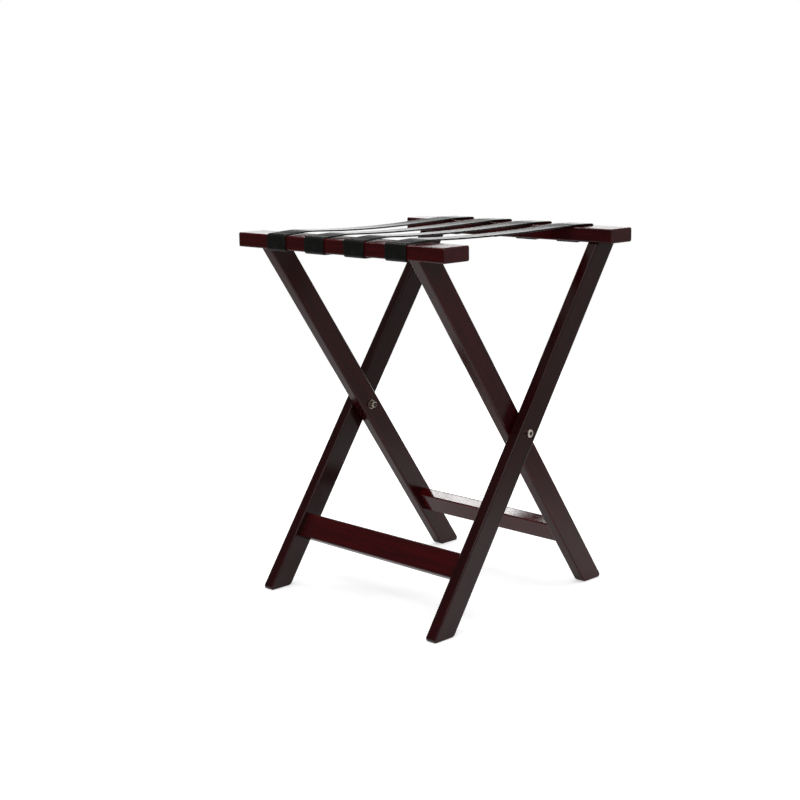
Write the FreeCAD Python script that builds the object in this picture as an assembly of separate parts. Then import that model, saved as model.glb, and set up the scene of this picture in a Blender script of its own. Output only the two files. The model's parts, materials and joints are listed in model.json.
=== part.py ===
"""Folding hotel luggage bench: two pivoting wooden frames joined on top by four webbing straps.

Frame of the part: origin on the floor at the middle of the footprint, X along the two rails,
+Y from the front rail to the rear rail, +Z up, in millimetres, standing open as used.
The inner frame carries the front rail and stands on its rear feet.  The outer frame carries
the rear rail and stands on its front feet.  The frames cross at two bolts on one X axis.
"""
import FreeCAD
import Part
import math
import os

os.makedirs("parts", exist_ok=True)
V = FreeCAD.Vector

# ---------------------------------------------------------------- rails and overall stance
top_z = 520.0            # top faces of the rails, the height of the bench without its straps
rail_length = 398.0      # along X
rail_width = 48.0        # along Y
rail_height = 20.0       # along Z
rail_y = 168.5           # centre line of each rail, either side of the pivot axis
rail_ease = 2.5          # radius on the long edges of the rails
rail_end_chamfer = 1.2   # round the sawn ends of the rails
pivot_z = 252.0          # height of the axis on which the frames fold

# ---------------------------------------------------------------- legs
leg_width = 34.0         # across the leg, in the YZ plane
leg_thickness = 18.0     # along X
leg_ease = 2.5           # radius on the long edges and round the foot
heel_radius = 9.0        # rounding of the blunt corner of each foot
toe_radius = 4.0         # rounding of the sharp corner of each foot
leg_gap = 2.0            # between an inner leg and its outer leg
inner_leg_x = 144.6      # centre of the inner legs, either side of the middle

# ---------------------------------------------------------------- stretchers
stretcher_width = 36.0       # along the leg
stretcher_thickness = 16.0   # across the leg
stretcher_drop = 204.5       # pivot axis to the middle of the stretcher, along the leg
stretcher_ease = 2.0

# ---------------------------------------------------------------- dowels
rail_dowel_radius = 4.0
rail_dowel_length = 26.0
rail_dowel_in_rail = 13.0            # share of the dowel that stands in the rail
rail_dowel_offsets = (-12.0, 4.0)    # along Y from the leg's centre, positive outward
end_dowel_radius = 3.0
end_dowel_length = 28.0
end_dowel_in_leg = 11.0
end_dowel_pitch = 18.0               # between the two dowels of one stretcher end
dowel_clearance = 0.05               # on the radius
dowel_end_space = 1.0                # glue space past each end of a dowel

# ---------------------------------------------------------------- pivot hardware
bolt_radius = 3.0
running_clearance = 0.08     # on the radius, where the outer leg turns on the bolt
fixed_clearance = 0.15       # on the radius, in the inner leg
side_play = 0.3              # beside each outer leg, so that it turns freely
head_radius = 5.5
head_height = 3.6
head_chamfer = 0.7
socket_flats = 4.0
socket_depth = 2.2
nut_flats = 10.0
nut_height = 4.4             # of the hexagon
nut_chamfer = 0.7
collar_radius = 4.4          # round collar of the lock nut, which holds its nylon ring
collar_height = 1.9
collar_chamfer = 0.6
nut_mouth_radius = 3.4       # opening of the collar round the bolt's end
bolt_short_of_mouth = 0.5    # from the bolt's end back to the face of the collar
nut_washer_radius = 6.8
nut_washer_thickness = 1.3
spacer_radius = 9.0

# ---------------------------------------------------------------- straps
strap_width = 38.0
strap_thickness = 2.0
strap_centres = (-116.1, -38.7, 38.7, 116.1)
strap_sag = 2.4          # of the span at the middle of the bench
strap_under = 36.0       # tacked end under each rail, from the rail's outer face
rear_wrap_gap = 0.3      # between the strap and the rear rail, which swings away with its legs

# ---------------------------------------------------------------- derived
rail_under = top_z - rail_height
lean = math.atan2(rail_y, rail_under - pivot_z)       # of the legs from vertical
section_half = leg_width / 2.0 / math.cos(lean)       # half of a level cut through a leg
outer_leg_x = inner_leg_x + leg_thickness + leg_gap
inner_leg_in = inner_leg_x - leg_thickness / 2.0
inner_leg_out = inner_leg_x + leg_thickness / 2.0
outer_leg_in = outer_leg_x - leg_thickness / 2.0
outer_leg_out = outer_leg_x + leg_thickness / 2.0
spacer_thickness = leg_gap - side_play
head_seat = outer_leg_out + side_play
nut_seat = inner_leg_in - nut_washer_thickness
nut_mouth = nut_seat - nut_height - collar_height
bolt_end = nut_mouth + bolt_short_of_mouth
span_slope = 2.0 * strap_sag / (rail_y - rail_width / 2.0)
span_reach = rail_y - rail_width / 2.0 + rail_ease * (1.0 - span_slope)    # where straps leave rails
strap_end_y = rail_y + rail_width / 2.0 - strap_under


def save(shape, node):
    """Write one named sub-part."""
    shape.exportStep("parts/" + node + ".step")


def axial(z):
    """Y of a leg's centre line at height z, for a frame whose top leans to +Y."""
    return (z - pivot_z) * math.tan(lean)


def wire_of(edges):
    return Part.Wire(Part.__sortEdges__(edges))


def prism(face, x_from, x_to):
    """Solid swept along X from a face that was drawn in the plane X = 0."""
    moved = face.copy()
    moved.translate(V(x_from, 0, 0))
    return moved.extrude(V(x_to - x_from, 0, 0))


def polygon_face(points):
    """Face in the plane X = 0 through (y, z) points."""
    corners = [V(0, y, z) for y, z in points]
    return Part.Face(Part.makePolygon(corners + [corners[0]]))


def x_cylinder(radius, x_from, x_to, y=0.0, z=pivot_z):
    low, high = min(x_from, x_to), max(x_from, x_to)
    return Part.makeCylinder(radius, high - low, V(low, y, z), V(1, 0, 0))


def edges_where(shape, test):
    """Edges of which every sampled point passes the test."""
    chosen = []
    for edge in shape.Edges:
        span = edge.LastParameter - edge.FirstParameter
        samples = [edge.valueAt(edge.FirstParameter + span * i / 4.0) for i in range(5)]
        if all(test(p) for p in samples):
            chosen.append(edge)
    return chosen


# ================================================================ legs
def leg_blank(side):
    """Leg before drilling, centred on X = 0, its top leaning to side * Y."""
    foot = axial(0.0)
    top = axial(rail_under)
    blank = polygon_face([(foot - section_half, 0.0), (foot + section_half, 0.0),
                          (top + section_half, rail_under), (top - section_half, rail_under)])
    solid = prism(blank, -leg_thickness / 2.0, leg_thickness / 2.0)
    for corner_y, radius in ((foot + section_half, heel_radius), (foot - section_half, toe_radius)):
        corner = edges_where(solid, lambda p: abs(p.z) < 0.01 and abs(p.y - corner_y) < 0.01)
        solid = solid.makeFillet(radius, corner)
    eased = [e for e in solid.Edges
             if not all(abs(v.Point.z - rail_under) < 0.01 for v in e.Vertexes)
             and abs(e.tangentAt(e.FirstParameter).x) < 0.9]
    solid = solid.makeFillet(leg_ease, eased)
    if side < 0:
        solid = solid.mirror(V(0, 0, 0), V(0, 1, 0))
    return solid


def rail_dowel_spots(leg_x, side):
    """Foot points of the dowels between one leg and the rail."""
    return [V(leg_x, side * (axial(rail_under) + off), rail_under) for off in rail_dowel_offsets]


def rail_dowel_holes(leg_x, side):
    holes = []
    low = rail_dowel_length - rail_dowel_in_rail + dowel_end_space
    depth = rail_dowel_length + 2.0 * dowel_end_space
    for spot in rail_dowel_spots(leg_x, side):
        start = spot - V(0, 0, low)
        holes.append(Part.makeCylinder(rail_dowel_radius + dowel_clearance, depth, start))
    return holes


def along_leg(side):
    """Unit vector up a leg whose top leans to side * Y."""
    return V(0, side * math.sin(lean), math.cos(lean))


def stretcher_centre(side):
    return V(0, 0, pivot_z) - along_leg(side) * stretcher_drop


def end_dowel_spots(side, face_x):
    """Middles of the two dowels where a stretcher end meets a leg, at X = face_x."""
    spots = []
    for step in (-0.5, 0.5):
        centre = stretcher_centre(side) + along_leg(side) * (step * end_dowel_pitch)
        spots.append(V(face_x, centre.y, centre.z))
    return spots


def end_dowel_holes(side, face_x):
    """Holes for the end dowels, running into the leg and back into the stretcher."""
    outward = 1.0 if face_x > 0 else -1.0
    in_board = end_dowel_length - end_dowel_in_leg
    holes = []
    for spot in end_dowel_spots(side, face_x):
        x_in = spot.x - outward * (in_board + dowel_end_space)
        x_out = spot.x + outward * (end_dowel_in_leg + dowel_end_space)
        holes.append(x_cylinder(end_dowel_radius + dowel_clearance, x_in, x_out, spot.y, spot.z))
    return holes


def make_leg(leg_x, side, inner_face_x, bore_radius):
    leg = leg_blank(side)
    leg.translate(V(leg_x, 0, 0))
    cuts = rail_dowel_holes(leg_x, side) + end_dowel_holes(side, inner_face_x)
    cuts.append(x_cylinder(bore_radius, leg_x - leg_thickness, leg_x + leg_thickness))
    return leg.cut(Part.makeCompound(cuts)).Solids[0]


# ================================================================ rails and stretchers
def make_rail(side, leg_centres):
    rail = Part.makeBox(rail_length, rail_width, rail_height,
                        V(-rail_length / 2.0, side * rail_y - rail_width / 2.0, rail_under))
    long_edges = [e for e in rail.Edges if abs(e.tangentAt(e.FirstParameter).x) > 0.9]
    rail = rail.makeFillet(rail_ease, long_edges)
    rims = edges_where(rail, lambda p: abs(p.x) > rail_length / 2.0 - 0.01)
    rail = rail.makeChamfer(rail_end_chamfer, rims)
    holes = []
    for leg_x in leg_centres:
        holes += rail_dowel_holes(leg_x, side)
    return rail.cut(Part.makeCompound(holes)).Solids[0]


def make_stretcher(side, half_length):
    """Board between two legs, in the plane of the legs, its ends butted on their inner faces."""
    board = Part.makeBox(2.0 * half_length, stretcher_thickness, stretcher_width,
                         V(-half_length, -stretcher_thickness / 2.0, -stretcher_width / 2.0))
    long_edges = [e for e in board.Edges if abs(e.tangentAt(e.FirstParameter).x) > 0.9]
    board = board.makeFillet(stretcher_ease, long_edges)
    board.rotate(V(0, 0, 0), V(1, 0, 0), -side * math.degrees(lean))
    board.translate(stretcher_centre(side))
    holes = end_dowel_holes(side, half_length) + end_dowel_holes(side, -half_length)
    return board.cut(Part.makeCompound(holes)).Solids[0]


def make_rail_dowels(side, leg_centres):
    pins = []
    for leg_x in leg_centres:
        for spot in rail_dowel_spots(leg_x, side):
            pin = Part.makeCylinder(rail_dowel_radius, rail_dowel_length)
            pin.translate(spot - V(0, 0, rail_dowel_length - rail_dowel_in_rail))
            pins.append(pin)
    return Part.makeCompound(pins)


def make_end_dowels(side, half_length):
    pins = []
    for outward in (-1.0, 1.0):
        for spot in end_dowel_spots(side, outward * half_length):
            pin = Part.makeCylinder(end_dowel_radius, end_dowel_length)
            pin.rotate(V(0, 0, 0), V(0, 1, 0), 90.0 * outward)
            in_board = end_dowel_length - end_dowel_in_leg
            pin.translate(spot - V(outward * in_board, 0, 0))
            pins.append(pin)
    return Part.makeCompound(pins)


# ================================================================ pivot hardware
def hexagon(flats, x_from, x_to):
    """Hexagonal prism along X on the pivot axis, two flats level."""
    reach = flats / math.sqrt(3.0)
    points = []
    for i in range(6):
        angle = math.radians(60.0 * i)
        points.append((reach * math.cos(angle), pivot_z + reach * math.sin(angle)))
    return prism(polygon_face(points), x_from, x_to)


def make_bolt():
    """Socket-head bolt on the +X side, head outside the outer leg."""
    head = x_cylinder(head_radius, head_seat, head_seat + head_height)
    rim = edges_where(head, lambda p: abs(p.x - head_seat - head_height) < 0.01)
    head = head.makeChamfer(head_chamfer, rim)
    socket = hexagon(socket_flats, head_seat + head_height - socket_depth, head_seat + head_height)
    shank = x_cylinder(bolt_radius, bolt_end, head_seat)
    return head.fuse(shank).removeSplitter().cut(socket).Solids[0]


def make_nut():
    """Lock nut: a hexagon seated on its washer, and a round collar round the bolt's end."""
    hex_out = nut_seat - nut_height
    body = hexagon(nut_flats, hex_out, nut_seat)
    core = x_cylinder(nut_flats / math.sqrt(3.0), hex_out, nut_seat)
    core = core.makeChamfer(nut_chamfer, edges_where(core, lambda p: abs(p.x - hex_out) < 0.01))
    collar = x_cylinder(collar_radius, nut_mouth, hex_out)
    rim = edges_where(collar, lambda p: abs(p.x - nut_mouth) < 0.01)
    collar = collar.makeChamfer(collar_chamfer, rim)
    body = body.common(core).fuse(collar)
    bore = x_cylinder(bolt_radius, bolt_end, nut_seat + 1.0)
    mouth = x_cylinder(nut_mouth_radius, nut_mouth - 1.0, bolt_end)
    return body.cut([bore, mouth]).removeSplitter().Solids[0]


def make_washer(radius, bore, x_from, x_to):
    ring = x_cylinder(radius, x_from, x_to)
    return ring.cut(x_cylinder(bore, x_from - 1.0, x_to + 1.0)).Solids[0]


def both_sides(shape):
    """Left and right copies of a part drawn on the +X side."""
    return (("left", shape.mirror(V(0, 0, 0), V(1, 0, 0))), ("right", shape))


# ================================================================ straps
def wrap_edges(side, grow, end_y):
    """Line round the outside of a rail, grown by grow, from under the rail to its inner top."""
    radius = rail_ease + grow
    k = radius * (1.0 - math.sqrt(0.5))
    outer = rail_y + rail_width / 2.0 + grow
    low = rail_under - grow
    high = top_z + grow

    def at(y, z):
        return V(0, side * y, z)

    lower_turn = Part.Arc(at(outer - radius, low), at(outer - k, low + k), at(outer, low + radius))
    upper_turn = Part.Arc(at(outer, high - radius), at(outer - k, high - k), at(outer - radius, high))
    return [
        Part.makeLine(at(end_y, low), at(outer - radius, low)),
        lower_turn.toShape(),
        Part.makeLine(at(outer, low + radius), at(outer, high - radius)),
        upper_turn.toShape(),
        Part.makeLine(at(outer - radius, high), at(span_reach, high)),
    ]


def strap_line(front_grow, rear_grow, sag_z):
    """One face of the strap in the plane X = 0, from under the front rail to under the rear."""
    span = Part.Arc(V(0, -span_reach, top_z + front_grow), V(0, 0, sag_z),
                    V(0, span_reach, top_z + rear_grow))
    return (wrap_edges(-1.0, front_grow, strap_end_y) + [span.toShape()]
            + wrap_edges(1.0, rear_grow, strap_end_y))


def make_strap():
    """Strap centred on X = 0: it wraps each rail from below, and its span sags between them."""
    sag_top = top_z + strap_thickness - strap_sag
    outer = strap_line(strap_thickness, strap_thickness, sag_top)
    inner = strap_line(0.0, rear_wrap_gap, sag_top - strap_thickness)
    ends = [Part.makeLine(V(0, -strap_end_y, rail_under - strap_thickness),
                          V(0, -strap_end_y, rail_under)),
            Part.makeLine(V(0, strap_end_y, rail_under - strap_thickness),
                          V(0, strap_end_y, rail_under - rear_wrap_gap))]
    section = Part.Face(wire_of(outer + inner + ends))
    return prism(section, -strap_width / 2.0, strap_width / 2.0)


# ================================================================ build
inner_centres = (-inner_leg_x, inner_leg_x)
outer_centres = (-outer_leg_x, outer_leg_x)

save(make_rail(-1.0, inner_centres), "front_rail")
save(make_rail(1.0, outer_centres), "rear_rail")
save(make_rail_dowels(-1.0, inner_centres), "front_rail_dowels")
save(make_rail_dowels(1.0, outer_centres), "rear_rail_dowels")

for name, sign in (("left", -1.0), ("right", 1.0)):
    save(make_leg(sign * inner_leg_x, -1.0, sign * inner_leg_in, bolt_radius + fixed_clearance),
         "inner_leg_" + name)
    save(make_leg(sign * outer_leg_x, 1.0, sign * outer_leg_in, bolt_radius + running_clearance),
         "outer_leg_" + name)

save(make_stretcher(-1.0, inner_leg_in), "inner_stretcher")
save(make_stretcher(1.0, outer_leg_in), "outer_stretcher")
save(make_end_dowels(-1.0, inner_leg_in), "inner_stretcher_dowels")
save(make_end_dowels(1.0, outer_leg_in), "outer_stretcher_dowels")

nut_washer = make_washer(nut_washer_radius, bolt_radius + fixed_clearance, nut_seat, inner_leg_in)
spacer = make_washer(spacer_radius, bolt_radius + fixed_clearance,
                     inner_leg_out, inner_leg_out + spacer_thickness)
for stem, piece in (("pivot_bolt", make_bolt()), ("pivot_nut", make_nut()),
                    ("nut_washer", nut_washer), ("leg_spacer", spacer)):
    for name, shape in both_sides(piece):
        save(shape, stem + "_" + name)

strap = make_strap()
for number, centre in enumerate(strap_centres, 1):
    placed = strap.copy()
    placed.translate(V(centre, 0, 0))
    save(placed, "strap_" + str(number))
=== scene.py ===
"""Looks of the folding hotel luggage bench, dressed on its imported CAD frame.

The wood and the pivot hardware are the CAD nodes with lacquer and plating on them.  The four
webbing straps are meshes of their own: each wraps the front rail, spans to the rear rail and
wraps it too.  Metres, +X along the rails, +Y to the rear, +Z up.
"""

import json
import math
import random

import bpy
from mathutils import Matrix, Vector


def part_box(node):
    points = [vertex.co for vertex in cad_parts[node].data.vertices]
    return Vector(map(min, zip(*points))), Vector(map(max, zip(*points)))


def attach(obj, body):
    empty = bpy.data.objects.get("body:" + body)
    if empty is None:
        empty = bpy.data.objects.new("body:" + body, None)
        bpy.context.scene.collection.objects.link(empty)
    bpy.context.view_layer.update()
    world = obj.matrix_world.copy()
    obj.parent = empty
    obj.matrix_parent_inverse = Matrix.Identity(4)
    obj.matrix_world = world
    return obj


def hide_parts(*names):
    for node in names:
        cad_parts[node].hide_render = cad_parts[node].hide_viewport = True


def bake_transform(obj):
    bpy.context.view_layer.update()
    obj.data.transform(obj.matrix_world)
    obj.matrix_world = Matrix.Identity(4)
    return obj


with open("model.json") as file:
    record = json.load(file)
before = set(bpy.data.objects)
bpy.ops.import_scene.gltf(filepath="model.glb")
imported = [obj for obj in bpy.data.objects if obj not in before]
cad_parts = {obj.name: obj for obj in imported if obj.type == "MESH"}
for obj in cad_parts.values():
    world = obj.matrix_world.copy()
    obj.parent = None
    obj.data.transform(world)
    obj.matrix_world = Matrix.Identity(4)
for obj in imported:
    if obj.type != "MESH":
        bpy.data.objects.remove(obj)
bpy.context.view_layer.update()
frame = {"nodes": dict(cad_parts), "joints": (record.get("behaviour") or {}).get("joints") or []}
nodes = frame["nodes"]
MM = 0.001

# ---------------------------------------------------------------- the frame's own measures
front_low, front_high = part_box("front_rail")
rear_low, rear_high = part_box("rear_rail")
hinge = Vector(frame["joints"][0]["pos_m"])
hardware_split = 150 * MM    # along X: the bolts' heads are beyond it, the nuts and bolt ends within
rail_top = front_high.z
rail_under = front_low.z
rail_middle_y = (rear_low.y + rear_high.y) / 2.0
lean = math.atan2(rail_middle_y, rail_under - hinge.z)     # of the legs from vertical

# ---------------------------------------------------------------- straps
strap_thickness = 2.0 * MM
rail_ease = 2.5 * MM
droops = {-1.0: 1.1 * MM, 1.0: 0.5 * MM}     # of the cut ends under the front and rear rail
droop_run = 17.0 * MM        # from the cut end to where the strap lies flat under the rail
droop_curve = ((0.0, 1.0), (0.35, 0.55), (0.7, 0.16), (1.0, 0.02))   # share of the run: of the droop
cut_end_inset = 12.0 * MM    # from the rail's inner face to the cut end
step = 2.5 * MM              # along the strap, between its cross-sections
least_step = 0.3 * MM        # a point of the strap's line closer than this is left out
rear_gap = 0.3 * MM          # between the strap and the rear rail's upper turn
section_shares = (-1.0, -0.985, -0.955, -0.91, -0.80, -0.55, -0.28, 0.0,
                  0.28, 0.55, 0.80, 0.91, 0.955, 0.985, 1.0)       # of half the width
selvedge = 0.8 * MM          # width of the thinner edge
edge_share = 0.30            # of the thickness, left at the very edge
wander = 0.25 * MM           # sideways, along the strap
wander_rate = 18.0           # of its waves, in radians per metre
cup = 0.25 * MM              # lift of a strap's edges at the middle of the span
# height of the strap's upper face over the rails' tops, at a distance behind the middle (all in mm)
front_profile = ((-190, 2.0), (-180, 2.4), (-168, 3.1), (-155, 3.7), (-146, 3.9), (-134, 3.4),
                 (-118, 2.5))
span_profile = ((-90, 1.2), (-60, 0.3), (-25, -0.3), (15, -0.4), (50, 0.0), (85, 0.9), (118, 1.9))
rear_profile = ((144, 2.7), (160, 3.1), (178, 2.7), (190, 2.3))
span_end = 118.0             # of the span, either side of the middle
crest_base = 2.0             # a strap's own crest lift is nothing at this height
crest_range = 1.8            # and whole this much higher
# per strap: sag of the span, lift of the crest, shift of the rear end along X, roll (all in mm)
strap_habits = {
    "strap_1": (0.5, 0.1, -3.8, 0.3),
    "strap_2": (0.0, -0.2, -4.2, 0.4),
    "strap_3": (-0.4, 0.2, -3.8, 0.5),
    "strap_4": (-0.5, -0.1, -4.2, 0.4),
}

# ---------------------------------------------------------------- camera and studio
camera_place = Vector((1.48407, -1.54717, 0.69578))
camera_azimuth = 45.207
camera_elevation = 11.068
camera_roll = -0.836
camera_lens = 68.33          # on a 36 mm sensor
floor_radius = 1.9
floor_glow = 0.46            # to the camera by the bench; it grows to 1, which is white, far off
mirror_glow = 0.17           # of the floor by the bench, in gloss
mirror_fall = 0.15           # what the gloss loses of it far off
room_level = 0.12            # light of the dim room, to everything but the camera
band_level = 2.6             # of the bright band low at the left rear
band_foot = 1.0              # more of it, close to the horizon
wash_level = 0.32            # of the pale wash at the right rear
sky_level = 1.9              # overhead


# ================================================================ shader helpers
def new_tree(name):
    """A material and its emptied node tree."""
    made = bpy.data.materials.new(name)
    made.use_nodes = True
    made.node_tree.nodes.clear()
    return made, made.node_tree


def add(tree, kind, inputs=None, **settings):
    """Add a node.  Inputs are given by name or index, as values or as sockets to link."""
    made = tree.nodes.new(kind)
    for key, value in settings.items():
        setattr(made, key, value)
    for key, value in (inputs or {}).items():
        socket = made.inputs[key]
        if isinstance(value, bpy.types.NodeSocket):
            tree.links.new(value, socket)
        else:
            socket.default_value = value
    return made


def math_node(tree, operation, *values, clamp=False):
    made = add(tree, "ShaderNodeMath", dict(enumerate(values)), operation=operation, use_clamp=clamp)
    return made.outputs[0]


def ramp(tree, factor, low, high, smooth=True):
    """0 below low, 1 above high."""
    made = add(tree, "ShaderNodeMapRange", {"Value": factor, "From Min": low, "From Max": high},
               interpolation_type="SMOOTHSTEP" if smooth else "LINEAR")
    return made.outputs["Result"]


def mix_colour(tree, factor, a, b, blend="MIX"):
    made = add(tree, "ShaderNodeMix", data_type="RGBA", blend_type=blend)
    for index, value in ((0, factor), (6, a), (7, b)):
        socket = made.inputs[index]
        if isinstance(value, bpy.types.NodeSocket):
            tree.links.new(value, socket)
        else:
            socket.default_value = value if index == 0 else (*value, 1.0)
    return made.outputs[2]


def noise(tree, vector, scale=1.0, detail=2.0, roughness=0.5, distortion=0.0):
    made = add(tree, "ShaderNodeTexNoise",
               {"Vector": vector, "Scale": scale, "Detail": detail, "Roughness": roughness,
                "Distortion": distortion})
    return made.outputs["Fac"]


def bump(tree, height, distance, strength=1.0, normal=None):
    inputs = {"Height": height, "Distance": distance, "Strength": strength}
    if normal is not None:
        inputs["Normal"] = normal
    return add(tree, "ShaderNodeBump", inputs).outputs["Normal"]


def finish_surface(tree, shader):
    add(tree, "ShaderNodeOutputMaterial", {"Surface": shader.outputs[0]})


# ================================================================ materials
def lacquered_wood(name, tilt, grain_axis, offset, dark, red, film_roughness):
    """Dark red stained wood under semi-gloss lacquer, its grain along one axis of the board.

    tilt turns the board about X from upright; grain_axis is 0 for X and 2 for the tilted Z.
    """
    made, tree = new_tree(name)
    place = add(tree, "ShaderNodeTexCoord")

    def grain(length, breadth):
        sizes = [breadth, breadth, breadth]
        sizes[grain_axis] = length
        return add(tree, "ShaderNodeMapping",
                   {"Vector": place.outputs["Object"], "Location": offset,
                    "Rotation": (tilt, 0.0, 0.0), "Scale": sizes},
                   vector_type="TEXTURE").outputs[0]

    figure = noise(tree, grain(180 * MM, 11 * MM), detail=4.0, roughness=0.6, distortion=0.7)
    lines = noise(tree, grain(90 * MM, 1.6 * MM), detail=2.0, roughness=0.6)
    pores = noise(tree, grain(7 * MM, 0.45 * MM), detail=1.0)
    blotch = noise(tree, grain(60 * MM, 45 * MM), detail=3.0)
    speck = noise(tree, grain(2.2 * MM, 2.2 * MM), detail=2.0)

    colour = mix_colour(tree, ramp(tree, figure, 0.32, 0.70), dark, red)
    streak = math_node(tree, "MULTIPLY", ramp(tree, lines, 0.42, 0.66), 0.30)
    colour = mix_colour(tree, streak, colour, tuple(0.45 * c for c in dark))
    pore_mask = ramp(tree, pores, 0.60, 0.70)
    colour = mix_colour(tree, math_node(tree, "MULTIPLY", pore_mask, 0.6), colour,
                        (0.006, 0.002, 0.002))

    # lacquer rubbed thinner on the eased edges, in patches, and a painted highlight there: the edges
    # are painted a lighter red
    facing = add(tree, "ShaderNodeMapping",
                 {"Vector": place.outputs["Normal"], "Rotation": (tilt, 0.0, 0.0)},
                 vector_type="TEXTURE").outputs[0]
    parts = add(tree, "ShaderNodeSeparateXYZ", {"Vector": facing}).outputs
    sides = [math_node(tree, "ABSOLUTE", parts[i]) for i in range(3)]
    flattest = math_node(tree, "MAXIMUM", math_node(tree, "MAXIMUM", sides[0], sides[1]), sides[2])
    edge = math_node(tree, "SUBTRACT", 1.0, ramp(tree, flattest, 0.80, 0.985))
    worn_and_highlit_edge = math_node(tree, "MULTIPLY", edge, ramp(tree, blotch, 0.40, 0.72))
    colour = mix_colour(tree, math_node(tree, "MULTIPLY", worn_and_highlit_edge, 0.45), colour,
                        tuple(2.2 * c for c in red))

    gloss = add(tree, "ShaderNodeMapRange",
                {"Value": blotch, "From Min": 0.3, "From Max": 0.7, "To Min": 0.30,
                 "To Max": 0.42}).outputs["Result"]
    film = add(tree, "ShaderNodeMapRange",
               {"Value": math_node(tree, "ADD", math_node(tree, "MULTIPLY", speck, 0.4), blotch),
                "From Min": 0.4, "From Max": 1.0, "To Min": film_roughness - 0.03,
                "To Max": film_roughness + 0.03}).outputs["Result"]
    ridge = math_node(tree, "SUBTRACT", math_node(tree, "MULTIPLY", lines, 0.5),
                      math_node(tree, "MULTIPLY", pore_mask, 0.6))
    ripple = noise(tree, grain(5 * MM, 2.6 * MM), detail=1.0)
    shader = add(tree, "ShaderNodeBsdfPrincipled",
                 {"Base Color": colour, "Roughness": gloss, "Specular IOR Level": 0.0,
                  "Coat Weight": 0.6, "Coat Roughness": film, "Coat IOR": 1.5,
                  "Normal": bump(tree, ridge, 0.10 * MM),
                  "Coat Normal": bump(tree, ripple, 0.006 * MM,
                                      normal=bump(tree, ridge, 0.007 * MM))})
    finish_surface(tree, shader)
    return made


def bare_beech():
    """Unstained dowel wood."""
    made, tree = new_tree("beech_dowel")
    place = add(tree, "ShaderNodeTexCoord").outputs["Object"]
    fleck = noise(tree, place, scale=900.0, detail=3.0)
    colour = mix_colour(tree, ramp(tree, fleck, 0.35, 0.65), (0.50, 0.33, 0.19), (0.66, 0.49, 0.32))
    finish_surface(tree, add(tree, "ShaderNodeBsdfPrincipled",
                             {"Base Color": colour, "Roughness": 0.6,
                              "Normal": bump(tree, fleck, 0.05 * MM)}))
    return made


def woven_webbing():
    """Black synthetic webbing: a close plain weave, smooth picks across and a finer selvedge."""
    made, tree = new_tree("black_webbing")
    uv = add(tree, "ShaderNodeUVMap", uv_map="weave").outputs[0]
    parts = add(tree, "ShaderNodeSeparateXYZ", {"Vector": uv}).outputs
    pick = 1.5 * MM
    end = 1.1 * MM
    along = math_node(tree, "SINE", math_node(tree, "MULTIPLY", parts[0], 2.0 * math.pi / pick))
    across = math_node(tree, "SINE", math_node(tree, "MULTIPLY", parts[1], 2.0 * math.pi / end))
    weave = math_node(tree, "MULTIPLY", along, across)
    rib = math_node(tree, "MULTIPLY", across, 0.35)
    yarn = noise(tree, add(tree, "ShaderNodeMapping",
                           {"Vector": uv, "Scale": (2.4 * MM, 0.35 * MM, 1.0)},
                           vector_type="TEXTURE").outputs[0], detail=2.0)
    patch = noise(tree, add(tree, "ShaderNodeMapping",
                            {"Vector": uv, "Scale": (26 * MM, 11 * MM, 1.0)},
                            vector_type="TEXTURE").outputs[0], detail=3.0)
    height = math_node(tree, "ADD", math_node(tree, "ADD", weave, rib),
                       math_node(tree, "MULTIPLY", yarn, 0.9))
    # painted shade in the weave: the low parts are painted darker and the raised yarns lighter
    colour = mix_colour(tree, ramp(tree, height, -0.6, 1.6), (0.0045, 0.0045, 0.0040),
                        (0.0125, 0.0125, 0.0115))
    colour = mix_colour(tree, math_node(tree, "MULTIPLY", ramp(tree, patch, 0.5, 0.8), 0.35),
                        colour, (0.024, 0.024, 0.022))
    gloss = add(tree, "ShaderNodeMapRange",
                {"Value": patch, "From Min": 0.3, "From Max": 0.7, "To Min": 0.12,
                 "To Max": 0.17}).outputs["Result"]
    shader = add(tree, "ShaderNodeBsdfPrincipled",
                 {"Base Color": colour, "Roughness": 0.5, "Specular IOR Level": 0.02,
                  "Coat Weight": 0.33, "Coat Roughness": gloss, "Coat IOR": 1.4,
                  "Normal": bump(tree, height, 0.05 * MM)})
    finish_surface(tree, shader)
    return made


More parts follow.
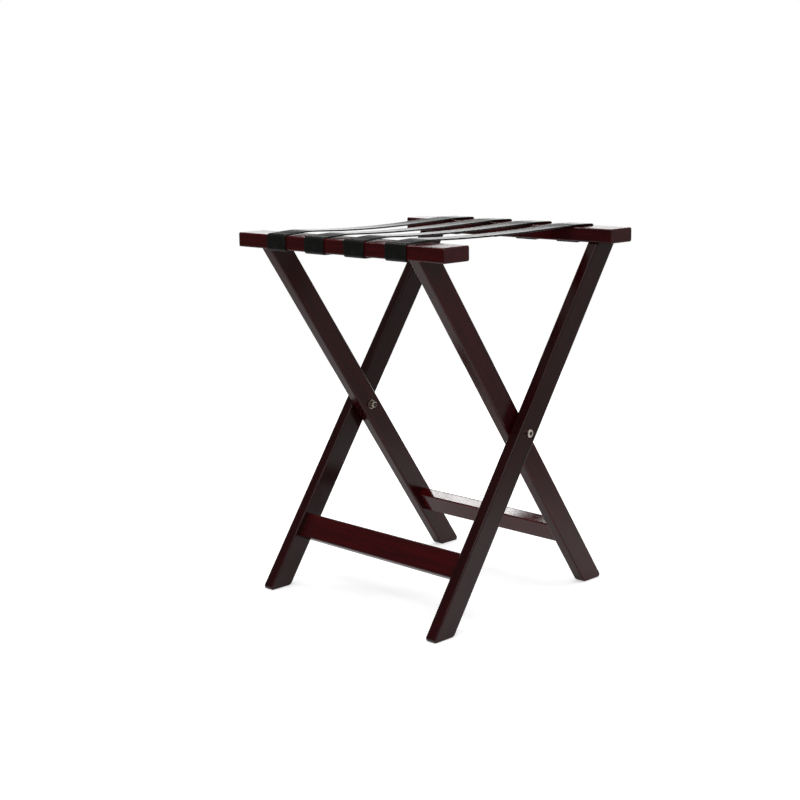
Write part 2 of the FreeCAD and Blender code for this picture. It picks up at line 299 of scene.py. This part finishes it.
def plated_steel(name, recess, bore):
    """Pale brass-toned plating, uneven and duller in patches, with painted shade in the recesses.

    The colour is painted dark and not metallic within a distance of the hinge's axis, as shade:
    bore on the leg's inner side, where the nuts' mouths and the bolts' ends are, and recess on the
    heads outside, with a lighter painted shade on a thin rim beyond.  The nuts' hexagon sides are
    painted dark too.
    """
    made, tree = new_tree(name)
    place = add(tree, "ShaderNodeTexCoord").outputs["Object"]
    parts = add(tree, "ShaderNodeSeparateXYZ", {"Vector": place}).outputs
    flat = add(tree, "ShaderNodeCombineXYZ",
               {"Y": parts["Y"], "Z": math_node(tree, "SUBTRACT", parts["Z"], hinge.z)}).outputs[0]
    reach = add(tree, "ShaderNodeVectorMath", {0: flat}, operation="LENGTH").outputs["Value"]
    outside = math_node(tree, "GREATER_THAN", math_node(tree, "ABSOLUTE", parts["X"]), hardware_split)
    limit = add(tree, "ShaderNodeMix", {0: outside, 2: bore, 3: recess},
                data_type="FLOAT").outputs[0]
    # painted shade: inside the limit the colour goes near black and the metal goes off
    recess_shade = math_node(tree, "LESS_THAN", reach, limit)
    beyond = math_node(tree, "SUBTRACT", reach, limit)
    # a lighter painted shade on a rim 0.9 mm wide beyond the limit
    halo = math_node(tree, "SUBTRACT", 1.0, ramp(tree, beyond, 0.0, 0.9 * MM))
    # the nuts' hexagon sides are painted dark
    flats = math_node(tree, "COMPARE", reach, 5.2 * MM, 0.75 * MM)
    flats = math_node(tree, "MULTIPLY", flats, math_node(tree, "SUBTRACT", 1.0, outside))
    shade_rim_and_dark_flats = math_node(tree, "MAXIMUM", math_node(tree, "MULTIPLY", halo, 0.4),
                      math_node(tree, "MULTIPLY", flats, 0.8))
    cloud = noise(tree, place, scale=260.0, detail=3.0)
    scratch = noise(tree, add(tree, "ShaderNodeMapping",
                              {"Vector": place, "Scale": (3.0 * MM, 0.25 * MM, 1.4 * MM)},
                              vector_type="TEXTURE").outputs[0], detail=2.0)
    colour = mix_colour(tree, ramp(tree, cloud, 0.35, 0.7), (0.70, 0.62, 0.54), (0.50, 0.42, 0.35))
    colour = mix_colour(tree, math_node(tree, "MAXIMUM", recess_shade, shade_rim_and_dark_flats), colour,
                        (0.020, 0.015, 0.012))
    gloss = add(tree, "ShaderNodeMapRange",
                {"Value": scratch, "From Min": 0.3, "From Max": 0.7, "To Min": 0.20,
                 "To Max": 0.38}).outputs["Result"]
    metal_beyond_shade = math_node(tree, "SUBTRACT", 1.0, recess_shade)
    finish_surface(tree, add(tree, "ShaderNodeBsdfPrincipled",
                             {"Base Color": colour, "Metallic": metal_beyond_shade, "Roughness": gloss,
                              "Normal": bump(tree, scratch, 0.012 * MM)}))
    return made


def dark_nylon():
    """Moulded spacer plastic."""
    made, tree = new_tree("dark_nylon")
    place = add(tree, "ShaderNodeTexCoord").outputs["Object"]
    grit = noise(tree, place, scale=1500.0, detail=2.0)
    colour = mix_colour(tree, ramp(tree, grit, 0.3, 0.7), (0.020, 0.018, 0.018),
                        (0.034, 0.030, 0.030))
    finish_surface(tree, add(tree, "ShaderNodeBsdfPrincipled",
                             {"Base Color": colour, "Roughness": 0.45,
                              "Normal": bump(tree, grit, 0.02 * MM)}))
    return made


head_recess = 2.4 * MM       # radius of the painted shade in the middle of a bolt's head
nut_mouth = 3.4 * MM         # and of a nut's mouth
leg_film = 0.20              # roughness of the lacquer's film on the legs
board_film = 0.14            # and on the rails and stretchers
deep_red = (0.061, 0.0018, 0.0026)
dark_red = (0.037, 0.0013, 0.0020)
# node: tilt of the board, grain axis, place in the grain, a factor on the board's colours
boards = {
    "front_rail": (0.0, 0, (0.00, 0.00, 0.00), 0.9),
    "rear_rail": (0.0, 0, (0.37, 0.21, 0.05), 0.75),
    "inner_leg_left": (lean, 2, (0.11, 0.07, 0.31), 0.6),
    "inner_leg_right": (lean, 2, (0.23, 0.13, 0.77), 0.62),
    "outer_leg_left": (-lean, 2, (0.41, 0.02, 0.53), 0.33),
    "outer_leg_right": (-lean, 2, (0.59, 0.17, 0.19), 0.38),
    "inner_stretcher": (lean, 0, (0.83, 0.29, 0.43), 1.1),
    "outer_stretcher": (-lean, 0, (0.67, 0.31, 0.61), 0.8),
}
dress = {}
for name, (tilt, axis, offset, tone_factor) in boards.items():
    dress[name] = lacquered_wood("wood_" + name, tilt, axis, offset,
                                 tuple(tone_factor * c for c in dark_red),
                                 tuple(tone_factor * c for c in deep_red),
                                 leg_film if "leg" in name else board_film)
beech = bare_beech()
steel = plated_steel("brassy_plating", head_recess, nut_mouth)
nylon = dark_nylon()
webbing = woven_webbing()

for name, piece in nodes.items():
    if name in dress:
        surface = dress[name]
    elif "dowels" in name:
        surface = beech
    elif name.startswith("leg_spacer"):
        surface = nylon
    elif name.startswith("strap"):
        surface = webbing
    else:
        surface = steel
    for slot in piece.material_slots:
        slot.material = surface


# ================================================================ straps
def smooth_line(knots, spacing):
    """Catmull-Rom line through (y, z) knots, cut into steps of about one spacing."""
    padded = [2 * Vector(knots[0]) - Vector(knots[1])] + [Vector(k) for k in knots]
    padded.append(2 * Vector(knots[-1]) - Vector(knots[-2]))
    line = []
    for a, b, c, d in zip(padded, padded[1:], padded[2:], padded[3:]):
        pieces = max(1, round((c - b).length / spacing))
        for i in range(pieces):
            t = i / pieces
            line.append(0.5 * (2 * b + (c - a) * t + (2 * a - 5 * b + 4 * c - d) * t * t
                               + (3 * b - a - 3 * c + d) * t ** 3))
    line.append(Vector(knots[-1]))
    return line


def turn(centre_y, centre_z, radius, start, end, pieces=7):
    """Points of an arc in the YZ plane, angles in degrees from +Y towards +Z."""
    points = []
    for i in range(pieces + 1):
        angle = math.radians(start + (end - start) * i / pieces)
        points.append(Vector((centre_y + radius * math.cos(angle),
                              centre_z + radius * math.sin(angle))))
    return points


def strap_line(sag, crest):
    """Middle line of a strap in (y, z), from its cut end under the front rail to the rear one."""
    half = strap_thickness / 2.0
    radius = rail_ease + half
    front_face = -front_low.y
    corner = front_face - rail_ease
    line = []

    def under(side):
        """From the cut end out to the turn of the strap round the rail's lower edge."""
        inner = front_face - (front_high.y - front_low.y) + cut_end_inset
        flat = rail_under - half
        droop = droops[side]
        knots = [(side * (inner + run * droop_run), flat - fall * droop) for run, fall in droop_curve]
        return smooth_line(knots + [(side * corner, flat)], step)

    line += under(-1.0)
    line += turn(-corner, rail_under + rail_ease, radius, 270.0, 180.0)
    line += turn(-corner, rail_top - rail_ease, radius, 180.0, 90.0)[:-1]
    knots = []
    for y, over in front_profile:
        lift = crest * (over - crest_base) / crest_range
        knots.append((y * MM, rail_top - half + (over + lift) * MM))
    for y, over in span_profile:
        deep = 1.0 - (y / span_end) ** 2
        knots.append((y * MM, rail_top - half + (over - sag * deep) * MM))
    for y, over in rear_profile:
        knots.append((y * MM, rail_top - half + over * MM))
    line += smooth_line(knots, step)[:-1]
    line += turn(corner, rail_top - rail_ease, radius + rear_gap, 90.0, 0.0)
    line += turn(corner, rail_under + rail_ease, radius, 0.0, -90.0)
    line += under(1.0)[::-1][1:]
    tidy = [line[0]]
    for point in line[1:]:
        if (point - tidy[-1]).length > least_step:
            tidy.append(point)
    return tidy


def strap_section(width):
    """Ring of (across, up) points: flat faces, a rounded and slightly thinner selvedge."""
    half = strap_thickness / 2.0
    top = []
    for share in section_shares:
        edge = (1.0 - abs(share)) * width / 2.0
        full = math.sqrt(min(1.0, edge / selvedge))
        lift = half * (edge_share + (1.0 - edge_share) * full)
        top.append((share * width / 2.0, lift))
    return top + [(x, -z) for x, z in reversed(top)]


def skin(name, rings, surface):
    """Closed mesh over a row of equal rings, with end caps."""
    count = len(rings[0])
    points = [p for ring in rings for p in ring]
    faces = []
    for i in range(len(rings) - 1):
        for j in range(count):
            k = (j + 1) % count
            faces.append((i * count + j, i * count + k, (i + 1) * count + k, (i + 1) * count + j))
    faces.append(tuple(reversed(range(count))))
    last = (len(rings) - 1) * count
    faces.append(tuple(range(last, last + count)))
    mesh = bpy.data.meshes.new(name)
    mesh.from_pydata(points, [], faces)
    mesh.materials.append(surface)
    for face in mesh.polygons:
        face.use_smooth = len(face.vertices) == 4
    mesh.update()
    piece = bpy.data.objects.new(name, mesh)
    bpy.context.scene.collection.objects.link(piece)
    return piece


def lay_weave(piece, lengths, section):
    """UV map in metres: distance along the strap and across it."""
    count = len(section)
    layer = piece.data.uv_layers.new(name="weave")
    for loop in piece.data.loops:
        ring, spot = divmod(loop.vertex_index, count)
        layer.data[loop.index].uv = (lengths[ring], section[spot][0])


def make_strap(node):
    """One strap as a mesh that stands for its CAD solid."""
    low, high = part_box(node)
    centre_x = (low.x + high.x) / 2.0
    width = high.x - low.x
    sag, crest, shift, roll = strap_habits[node]
    line = strap_line(sag, crest)
    section = strap_section(width)
    lengths = [0.0]
    for a, b in zip(line, line[1:]):
        lengths.append(lengths[-1] + (b - a).length)
    wobble = random.Random(node)
    phase = wobble.uniform(0.0, 6.0)
    rings = []
    for i, point in enumerate(line):
        before = line[max(0, i - 1)]
        after = line[min(len(line) - 1, i + 1)]
        along = (after - before).normalized()
        up = Vector((-along.y, along.x))         # leaves the rails' outer faces outwards
        share = min(1.0, max(0.0, (point.x - front_high.y) / (rear_low.y - front_high.y)))
        ease = share * share * (3.0 - 2.0 * share)
        free = 4.0 * share * (1.0 - share)
        drift = shift * MM * ease + wander * math.sin(wander_rate * lengths[i] + phase)
        ring = []
        for across, rise in section:
            tilt = roll * MM * free * across / (width / 2.0)
            curl = cup * free * (across / (width / 2.0)) ** 2
            ring.append(Vector((centre_x + across + drift,
                                point.x + up.x * rise,
                                point.y + up.y * rise + tilt + curl)))
        rings.append(ring)
    piece = skin("webbing_" + node, rings, webbing)
    lay_weave(piece, lengths, section)
    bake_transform(piece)
    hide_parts(node)


for name in sorted(strap_habits):
    make_strap(name)


# ================================================================ staples
staple_crown = 9.5 * MM
staple_leg = 2.4 * MM        # from the crown up to the end of a leg, inside the webbing and the rail
staple_radius = 0.55 * MM    # of the wire
staple_bend = 1.1 * MM       # radius of its corners
staple_turn = (0.4, 0.8, 1.2)        # angles of the points on a corner, in radians
staple_shares = (-0.24, 0.26)        # of the strap's width, from its middle to a staple
staple_run = 0.86            # share of the droop's run, from the cut end to a staple
staple_droop = 0.10          # share of the droop that is left there
staple_stand = 0.1 * MM      # of the crown's middle line below the webbing


def wire(points, radius, sides=8):
    """Rings of a round wire along points in one plane of constant Y."""
    rings = []
    for i, point in enumerate(points):
        along = (points[min(i + 1, len(points) - 1)] - points[max(i - 1, 0)]).normalized()
        side = Vector((0.0, 1.0, 0.0))
        other = along.cross(side)
        rings.append([point + radius * (side * math.cos(a) + other * math.sin(a))
                      for a in (2.0 * math.pi * k / sides for k in range(sides))])
    return rings


def staple_line(x, y, z):
    """Middle line of a staple: down one leg, along the crown and up the other leg."""
    half = staple_crown / 2.0
    leg = [(0.0, staple_leg), (0.0, staple_bend)]       # inward from the leg's line, and up
    for angle in staple_turn:
        leg.append((staple_bend * (1.0 - math.cos(angle)), staple_bend * (1.0 - math.sin(angle))))
    leg.append((staple_bend, 0.0))
    left = [Vector((x - half + inward, y, z + up)) for inward, up in leg]
    right = [Vector((x + half - inward, y, z + up)) for inward, up in reversed(leg)]
    return left + right


def make_staples(name, side, body):
    """Two staples through each strap's end, driven up into the underside of a rail."""
    inner = -front_high.y + cut_end_inset
    pieces = []
    for strap in sorted(strap_habits):
        low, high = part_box(strap)
        drift = strap_habits[strap][2] * MM if side > 0 else 0.0
        for share in staple_shares:
            x = (low.x + high.x) / 2.0 + share * (high.x - low.x) + drift
            y = side * (inner + staple_run * droop_run)
            z = rail_under - strap_thickness - staple_droop * droops[side] - staple_stand
            pieces.append(skin(name + "_part", wire(staple_line(x, y, z), staple_radius), steel))
    with bpy.context.temp_override(active_object=pieces[0], selected_editable_objects=pieces):
        bpy.ops.object.join()
    whole = pieces[0]
    whole.name = name
    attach(whole, body)


make_staples("staples_front", -1.0, "inner_frame")
make_staples("staples_rear", 1.0, "outer_frame")


# ================================================================ floor, light and camera
def make_floor():
    """Pale matt disc that goes white to the camera away from the bench and keeps its shadow."""
    made, tree = new_tree("studio_floor")
    place = add(tree, "ShaderNodeTexCoord").outputs["Object"]
    cloud = noise(tree, place, scale=3.0, detail=2.0)
    distance = add(tree, "ShaderNodeVectorMath", {0: place}, operation="LENGTH").outputs["Value"]
    pale = mix_colour(tree, cloud, (0.79, 0.79, 0.79), (0.82, 0.82, 0.82))
    colour = mix_colour(tree, ramp(tree, distance, 0.35, 1.2), pale, (0.34, 0.34, 0.34))
    ray = add(tree, "ShaderNodeLightPath").outputs
    far = ramp(tree, distance, 0.45, 0.95)
    to_camera = math_node(tree, "ADD", floor_glow,
                          math_node(tree, "MULTIPLY", far, 1.0 - floor_glow))
    mirrored = math_node(tree, "MAXIMUM", ray["Is Glossy Ray"], ray["Is Transmission Ray"])
    fall = math_node(tree, "MULTIPLY", ramp(tree, distance, 0.35, 0.8), mirror_fall)
    near = math_node(tree, "SUBTRACT", mirror_glow, fall)
    strength = math_node(tree, "ADD", math_node(tree, "MULTIPLY", ray["Is Camera Ray"], to_camera),
                         math_node(tree, "MULTIPLY", mirrored, near))
    glow = add(tree, "ShaderNodeEmission", {"Color": (1.0, 1.0, 1.0, 1.0), "Strength": strength})
    matt = add(tree, "ShaderNodeBsdfDiffuse", {"Color": colour})
    finish_surface(tree, add(tree, "ShaderNodeAddShader",
                             {0: matt.outputs[0], 1: glow.outputs[0]}))
    corners = [Vector((floor_radius * math.cos(a), floor_radius * math.sin(a), 0.0))
               for a in (2.0 * math.pi * k / 96 for k in range(96))]
    mesh = bpy.data.meshes.new("floor")
    mesh.from_pydata(corners, [], [tuple(range(96))])
    mesh.materials.append(made)
    floor = bpy.data.objects.new("floor", mesh)
    bpy.context.scene.collection.objects.link(floor)


def make_world():
    """White to the camera; to all else a dim room with a bright band low at the left rear,
    a pale wash at the right rear and light overhead.
    """
    world = bpy.data.worlds.new("studio")
    world.use_nodes = True
    tree = world.node_tree
    tree.nodes.clear()
    direction = add(tree, "ShaderNodeTexCoord").outputs["Generated"]
    parts = add(tree, "ShaderNodeSeparateXYZ", {"Vector": direction}).outputs
    left_rear = math_node(tree, "SUBTRACT", parts["Y"], parts["X"])
    right_rear = math_node(tree, "ADD", parts["Y"], parts["X"])

    def below(share, low, high):
        """A share of light under one height of the sky, gone above another."""
        fall = math_node(tree, "SUBTRACT", 1.0, ramp(tree, parts["Z"], low, high))
        return math_node(tree, "MULTIPLY", share, fall)

    backdrop = math_node(tree, "MULTIPLY", ramp(tree, left_rear, 1.0, 1.3),
                         math_node(tree, "ADD", below(band_level, 0.085, 0.13),
                                   below(band_foot, 0.0, 0.07)))
    level = math_node(tree, "ADD", room_level, backdrop)
    level = math_node(tree, "ADD", level,
                      math_node(tree, "MULTIPLY", ramp(tree, right_rear, -0.3, 0.9), wash_level))
    level = math_node(tree, "ADD", level,
                      math_node(tree, "MULTIPLY", ramp(tree, parts["Z"], 0.6, 0.95), sky_level))
    ray = add(tree, "ShaderNodeLightPath").outputs["Is Camera Ray"]
    strength = add(tree, "ShaderNodeMix", {0: ray, 2: level, 3: 1.0}, data_type="FLOAT").outputs[0]
    glow = add(tree, "ShaderNodeBackground", {"Color": (1.0, 1.0, 1.0, 1.0), "Strength": strength})
    add(tree, "ShaderNodeOutputWorld", {"Surface": glow.outputs[0]})
    bpy.context.scene.world = world


def soft_light(name, place, target, width, height, watts, mirrored=True):
    """Rectangular lamp aimed at a point; one that isn't mirrored leaves no glint in gloss."""
    lamp = bpy.data.lights.new(name, "AREA")
    lamp.shape = "RECTANGLE"
    lamp.size = width
    lamp.size_y = height
    lamp.energy = watts
    made = bpy.data.objects.new(name, lamp)
    bpy.context.scene.collection.objects.link(made)
    made.location = place
    made.rotation_euler = (Vector(place) - Vector(target)).to_track_quat("Z", "Y").to_euler()
    made.visible_glossy = mirrored


def make_camera():
    """Camera at the fitted place, turned by its azimuth, elevation and roll."""
    data = bpy.data.cameras.new("camera")
    data.lens = camera_lens
    data.sensor_width = 36.0
    data.clip_start = 0.05
    data.clip_end = 50.0
    camera = bpy.data.objects.new("camera", data)
    bpy.context.scene.collection.objects.link(camera)
    azimuth = math.radians(camera_azimuth)
    elevation = math.radians(camera_elevation)
    roll = math.radians(camera_roll)
    back = Vector((math.sin(azimuth) * math.cos(elevation),
                   -math.cos(azimuth) * math.cos(elevation), math.sin(elevation)))
    right = (-back).cross(Vector((0.0, 0.0, 1.0))).normalized()
    up = right.cross(-back)
    rolled_right = right * math.cos(roll) + up * math.sin(roll)
    rolled_up = up * math.cos(roll) - right * math.sin(roll)
    turned = Matrix((rolled_right, rolled_up, back)).transposed()
    camera.matrix_world = Matrix.Translation(camera_place) @ turned.to_4x4()
    bpy.context.scene.camera = camera


make_floor()
make_world()
soft_light("far_key", (-10.32, 0.47, 12.31), (0.0, 0.10, 0.10), 1.2, 2.0, 210.0)
soft_light("front_fill", (1.25, -0.95, 1.15), (0.0, 0.0, 0.25), 0.5, 0.5, 3.0)
soft_light("left_fill", (-1.95, -0.85, 0.42), (0.0, 0.0, 0.40), 0.45, 0.45, 9.0, mirrored=False)
soft_light("top_fill", (0.10, -1.15, 1.60), (0.0, 0.10, 0.45), 0.25, 0.25, 3.0, mirrored=False)
make_camera()

scene = bpy.context.scene
scene.view_settings.view_transform = "Standard"

bpy.context.view_layer.update()
